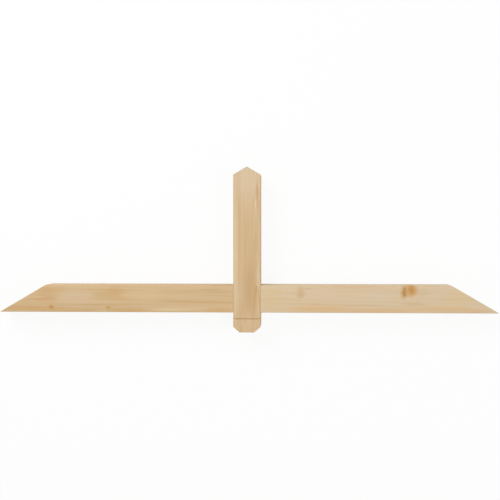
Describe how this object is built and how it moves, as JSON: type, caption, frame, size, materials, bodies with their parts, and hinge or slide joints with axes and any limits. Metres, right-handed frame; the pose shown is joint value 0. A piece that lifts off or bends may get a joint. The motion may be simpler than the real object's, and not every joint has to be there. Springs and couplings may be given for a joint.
{
  "type": "timber gable bracket",
  "caption": "Timber gable bracket: a king post with a peaked top and chamfered foot, between level beams whose ends are raked to the roof slope.",
  "frame": {"origin": "on the floor under the middle of the bracket's outline, with the bracket lying on its back face", "axes": "+X across the gable to the right beam's tip, +Y up the gable to the post's peak, +Z out from the wall"},
  "size_m": [2.4384, 0.8082, 0.1333],
  "materials": {
    "post_timber": "planed bare fir",
    "left_timber": "planed bare fir",
    "right_timber": "planed bare fir"
  },
  "bodies": {
    "root": {"king_post": "post_timber", "left_beam": "left_timber", "right_beam": "right_timber"}
  },
  "joints": []
}
